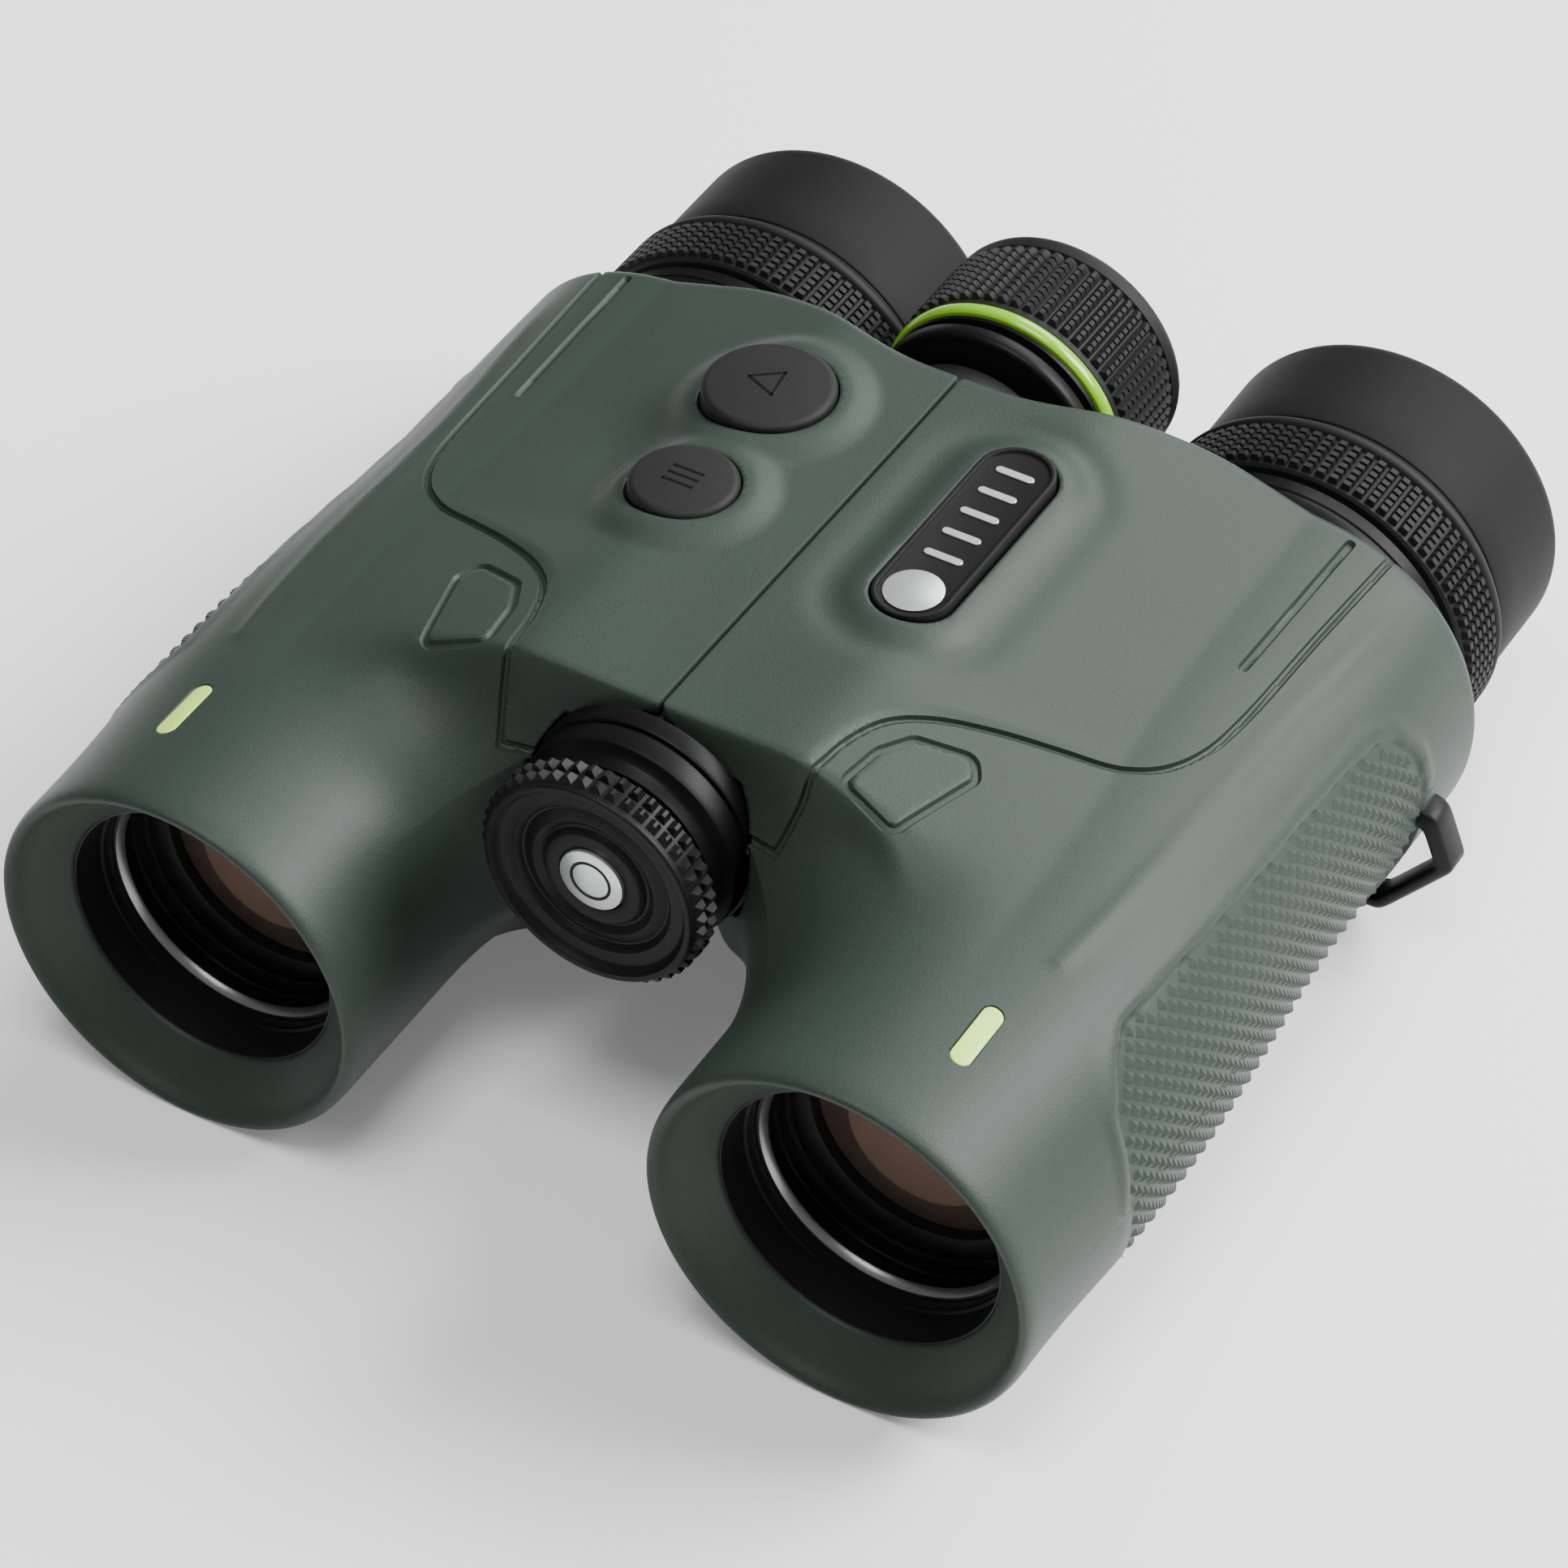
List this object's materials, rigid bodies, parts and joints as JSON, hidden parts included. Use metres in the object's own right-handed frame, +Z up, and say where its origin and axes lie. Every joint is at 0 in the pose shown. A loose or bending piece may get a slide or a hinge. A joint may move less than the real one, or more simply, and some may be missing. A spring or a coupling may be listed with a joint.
{
  "type": "laser rangefinder binoculars",
  "caption": "Compact roof-prism binoculars with a built-in laser rangefinder: hinged armoured halves, focus wheel, twist-up eyecups, battery in the hinge, two buttons on top.",
  "frame": {"origin": "middle of the part's bounding box, on the surface it rests on", "axes": "-Y towards the view (objectives), +Y to the eyepieces, +X to the right half as seen from the front, +Z up through the buttons"},
  "size_m": [0.1316, 0.1348, 0.0531],
  "materials": {
    "armour": "satin soft-touch rubber, dark grey-green",
    "housing": "matt magnesium casting",
    "black_metal": "satin black anodised",
    "black_plastic": "matt black moulded plastic",
    "black_rubber": "matt black ribbed rubber",
    "steel": "turned steel",
    "brass": "plain brass",
    "green_gloss": "glossy yellow-green",
    "mark_green": "pale green inlay",
    "coated_glass": "brown anti-reflection coating",
    "clear_glass": "coated optical glass",
    "battery_wrap": "plain printed sleeve",
    "board": "solder-masked circuit board",
    "silver": "satin disc"
  },
  "bodies": {
    "left_half": {"left_chassis": "housing", "left_armour": "armour", "left_bridge_cover": "armour", "left_strap_lug": "black_plastic", "left_objective_cell": "black_metal", "left_eyepiece_tube": "black_metal", "left_retaining_ring": "steel", "left_objective_lens": "clear_glass", "left_prism": "clear_glass", "left_inner_lens": "coated_glass", "left_alignment_mark": "mark_green", "hinge_tube": "black_metal", "front_collar": "black_metal", "rear_housing": "black_metal", "battery": "battery_wrap", "battery_spring": "brass", "circuit_board": "board", "laser_emitter": "black_plastic", "power_switch": "steel", "mode_switch": "steel"},
    "left_focus_cell": {"left_focus_cell": "black_metal", "left_focus_lens": "clear_glass"},
    "left_dioptre": {"left_dioptre_ring": "black_rubber"},
    "left_ocular": {"left_ocular_cell": "black_metal", "left_eye_lens": "coated_glass"},
    "left_friction_ring": {"left_friction_ring": "brass"},
    "left_eyecup": {"left_eyecup_sleeve": "black_metal", "left_eyecup": "black_rubber"},
    "right_half": {"right_chassis": "housing", "right_armour": "armour", "right_bridge_cover": "armour", "right_strap_lug": "black_plastic", "right_objective_cell": "black_metal", "right_eyepiece_tube": "black_metal", "right_retaining_ring": "steel", "right_objective_lens": "clear_glass", "right_prism": "clear_glass", "right_inner_lens": "coated_glass", "right_alignment_mark": "mark_green", "laser_receiver": "black_plastic", "display_module": "black_plastic", "nameplate": "black_plastic"},
    "right_focus_cell": {"right_focus_cell": "black_metal", "right_focus_lens": "clear_glass"},
    "right_dioptre": {"right_dioptre_ring": "black_rubber"},
    "right_ocular": {"right_ocular_cell": "black_metal", "right_eye_lens": "coated_glass"},
    "right_friction_ring": {"right_friction_ring": "brass"},
    "right_eyecup": {"right_eyecup_sleeve": "black_metal", "right_eyecup": "black_rubber"},
    "cap_seal": {"cap_seal": "black_rubber"},
    "battery_cap": {"battery_cap": "black_metal", "cap_badge": "silver"},
    "focus_wheel": {"focus_wheel": "black_metal", "focus_wheel_grip": "black_rubber", "focus_accent_ring": "green_gloss", "focus_spindle": "steel"},
    "focus_carriage": {"focus_carriage": "brass"},
    "power_button": {"power_button": "black_rubber"},
    "mode_button": {"mode_button": "black_rubber"}
  },
  "joints": [
    {"name": "interpupillary_hinge", "type": "hinge", "parent": "left_half", "child": "right_half", "pos_m": [0, -0.0126, 0.038], "axis": [0, 1, 0], "range_deg": [0, 41.5]},
    {"name": "focus_turn", "type": "hinge", "parent": "left_half", "child": "focus_wheel", "pos_m": [0, 0.0424, 0.038], "axis": [0, 1, 0], "range_deg": [-225, 225]},
    {"name": "carriage_travel", "type": "slide", "parent": "left_half", "child": "focus_carriage", "axis": [0, 1, 0], "range_m": [-0.0025, 0.0025]},
    {"name": "left_focus_travel", "type": "slide", "parent": "left_half", "child": "left_focus_cell", "axis": [0, 1, 0], "range_m": [-0.0025, 0.0025]},
    {"name": "right_focus_travel", "type": "slide", "parent": "right_half", "child": "right_focus_cell", "axis": [0, 1, 0], "range_m": [-0.0025, 0.0025]},
    {"name": "left_dioptre_turn", "type": "hinge", "parent": "left_half", "child": "left_dioptre", "pos_m": [-0.036, 0.0454, 0.022], "axis": [0, 1, 0], "range_deg": [-60, 60]},
    {"name": "left_ocular_travel", "type": "slide", "parent": "left_half", "child": "left_ocular", "axis": [0, 1, 0], "range_m": [-0.001, 0.001]},
    {"name": "left_eyecup_turn", "type": "hinge", "parent": "left_half", "child": "left_friction_ring", "pos_m": [-0.036, 0.0534, 0.022], "axis": [0, 1, 0], "range_deg": [0, 120]},
    {"name": "left_eyecup_rise", "type": "slide", "parent": "left_friction_ring", "child": "left_eyecup", "axis": [0, 1, 0], "range_m": [0, 0.008]},
    {"name": "right_dioptre_turn", "type": "hinge", "parent": "right_half", "child": "right_dioptre", "pos_m": [0.036, 0.0454, 0.022], "axis": [0, 1, 0], "range_deg": [-60, 60]},
    {"name": "right_ocular_travel", "type": "slide", "parent": "right_half", "child": "right_ocular", "axis": [0, 1, 0], "range_m": [-0.001, 0.001]},
    {"name": "right_eyecup_turn", "type": "hinge", "parent": "right_half", "child": "right_friction_ring", "pos_m": [0.036, 0.0534, 0.022], "axis": [0, 1, 0], "range_deg": [0, 120]},
    {"name": "right_eyecup_rise", "type": "slide", "parent": "right_friction_ring", "child": "right_eyecup", "axis": [0, 1, 0], "range_m": [0, 0.008]},
    {"name": "battery_cap_turn", "type": "hinge", "parent": "left_half", "child": "cap_seal", "pos_m": [0, -0.0436, 0.038], "axis": [0, 1, 0], "range_deg": [0, 1080]},
    {"name": "battery_cap_unscrew", "type": "slide", "parent": "cap_seal", "child": "battery_cap", "axis": [0, -1, 0], "range_m": [0, 0.0045]},
    {"name": "power_button_press", "type": "slide", "parent": "left_half", "child": "power_button", "axis": [0, 0, -1], "range_m": [0, 0.0008], "stiffness_N_per_m": 1500},
    {"name": "mode_button_press", "type": "slide", "parent": "left_half", "child": "mode_button", "axis": [0, 0, -1], "range_m": [0, 0.0008], "stiffness_N_per_m": 1500}
  ],
  "couplings": [
    {"joint": "focus_turn", "follows": "carriage_travel", "rad_per_m": 1570.8},
    {"joint": "left_focus_travel", "follows": "carriage_travel", "ratio": 1},
    {"joint": "right_focus_travel", "follows": "carriage_travel", "ratio": 1},
    {"joint": "left_dioptre_turn", "follows": "left_ocular_travel", "rad_per_m": 1047.2},
    {"joint": "left_eyecup_turn", "follows": "left_eyecup_rise", "rad_per_m": 261.8},
    {"joint": "right_dioptre_turn", "follows": "right_ocular_travel", "rad_per_m": 1047.2},
    {"joint": "right_eyecup_turn", "follows": "right_eyecup_rise", "rad_per_m": 261.8},
    {"joint": "battery_cap_turn", "follows": "battery_cap_unscrew", "rad_per_m": 4188.8}
  ]
}
